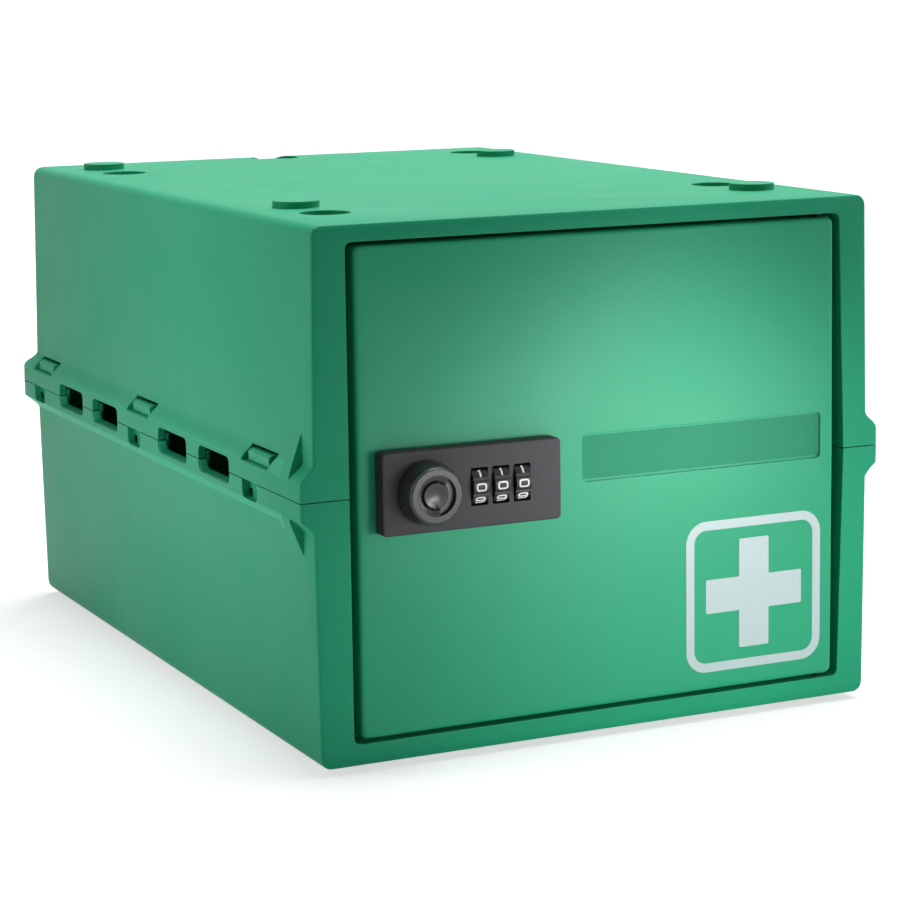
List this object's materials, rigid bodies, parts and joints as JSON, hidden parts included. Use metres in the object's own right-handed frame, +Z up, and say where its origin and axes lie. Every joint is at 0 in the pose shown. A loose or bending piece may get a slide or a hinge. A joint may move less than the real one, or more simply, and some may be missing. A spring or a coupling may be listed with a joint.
{
  "type": "medication lock box",
  "caption": "Lockable medication box: two clipped plastic half shells, an inset door on pins, and a dial lock whose knob turns a cam behind the door frame.",
  "frame": {"origin": "under the middle of the whole box, on the plane its feet stand on", "axes": "+X to the hinge side seen from the front, +Y from the door to the back, +Z up"},
  "size_m": [0.2064, 0.3052, 0.1714],
  "materials": {
    "shell_green": "fine satin moulded green plastic with softened edges",
    "door_green": "the same green plastic, slightly glossier than the shells",
    "lock_black": "charcoal moulded plastic with a fine grain",
    "dial_black": "black wheels with printed white digits",
    "knob_black": "charcoal plastic, smoother than the housing",
    "steel": "plain bright steel",
    "zinc": "die-cast zinc, dull grey",
    "brass": "turned brass"
  },
  "bodies": {
    "base": {"upper_shell": "shell_green", "lower_shell": "shell_green"},
    "door": {"door_panel": "door_green", "hinge_pin_top": "steel", "hinge_pin_bottom": "steel", "lock_bezel": "lock_black", "lock_case": "lock_black", "lock_screw_1": "steel", "lock_screw_2": "steel", "lock_screw_3": "steel", "lock_screw_4": "steel", "dial_spindle": "steel", "detent_spring": "steel"},
    "dial_1": {"dial_1": "dial_black", "code_sleeve_1": "brass"},
    "dial_2": {"dial_2": "dial_black", "code_sleeve_2": "brass"},
    "dial_3": {"dial_3": "dial_black", "code_sleeve_3": "brass"},
    "knob": {"knob": "knob_black", "knob_cap": "knob_black", "knob_spindle": "zinc", "cam_latch": "steel", "cam_washer": "steel", "cam_screw": "steel"}
  },
  "joints": [
    {"name": "door_hinge", "type": "hinge", "parent": "base", "child": "door", "pos_m": [0.0823, -0.1346, 0.0857], "axis": [0, 0, 1], "range_deg": [0, 100]},
    {"name": "knob_turn", "type": "hinge", "parent": "door", "child": "knob", "pos_m": [-0.0644, -0.1486, 0.0868], "axis": [0, 1, 0], "range_deg": [0, 90]},
    {"name": "dial_1_turn", "type": "hinge", "parent": "door", "child": "dial_1", "pos_m": [-0.04645, -0.1392, 0.0868], "axis": [1, 0, 0], "continuous": true},
    {"name": "dial_2_turn", "type": "hinge", "parent": "door", "child": "dial_2", "pos_m": [-0.03915, -0.1392, 0.0868], "axis": [1, 0, 0], "continuous": true},
    {"name": "dial_3_turn", "type": "hinge", "parent": "door", "child": "dial_3", "pos_m": [-0.03185, -0.1392, 0.0868], "axis": [1, 0, 0], "continuous": true}
  ]
}
